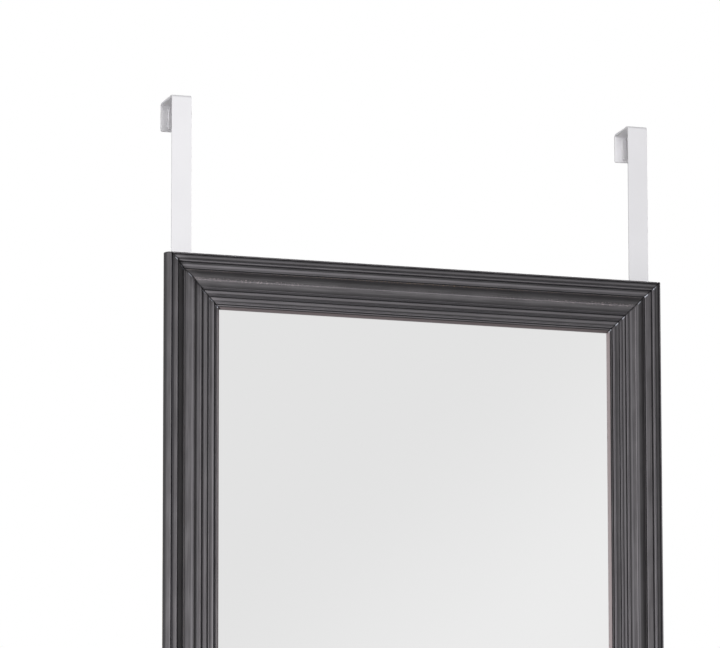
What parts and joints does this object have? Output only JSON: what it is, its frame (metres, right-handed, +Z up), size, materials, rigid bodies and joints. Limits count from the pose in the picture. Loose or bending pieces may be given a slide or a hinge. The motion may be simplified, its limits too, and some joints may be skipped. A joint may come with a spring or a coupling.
{
  "type": "over the door mirror",
  "caption": "Tall plain mirror in a mitred, fluted charcoal frame, hung over a door's top edge by flat white steel hook hangers.",
  "frame": {"origin": "on the door's top front edge, midway between the two hangers: the rear plane of the straps is Y = 0 and the underside of the hooks is Z = 0", "axes": "+X to the right seen from the front, +Y into the door, +Z up; the mirror faces -Y"},
  "size_m": [0.508, 0.0625, 1.532],
  "materials": {
    "moulding": "charcoal stained and lacquered, satin, rubbed through to brown on the arrises",
    "mirror_glass": "float glass silvered on the back",
    "card": "plain kraft card",
    "hardboard": "brown hardboard, smooth face outwards",
    "zinc_steel": "bright zinc plate",
    "white_steel": "white powder coat, satin",
    "soft_pad": "white closed-cell foam",
    "bumper": "translucent soft plastic, matt"
  },
  "bodies": {
    "root": {"top_rail": "moulding", "bottom_rail": "moulding", "left_stile": "moulding", "right_stile": "moulding", "mirror_glass": "mirror_glass", "card_liner": "card", "backing_board": "hardboard", "top_glazing_points": "zinc_steel", "bottom_glazing_points": "zinc_steel", "left_glazing_points": "zinc_steel", "right_glazing_points": "zinc_steel", "top_left_mitre_nails": "zinc_steel", "top_right_mitre_nails": "zinc_steel", "bottom_left_mitre_nails": "zinc_steel", "bottom_right_mitre_nails": "zinc_steel", "left_hanger": "white_steel", "right_hanger": "white_steel", "left_hanger_screws": "zinc_steel", "right_hanger_screws": "zinc_steel", "left_hook_pad": "soft_pad", "right_hook_pad": "soft_pad", "left_bumper": "bumper", "right_bumper": "bumper"}
  },
  "joints": []
}
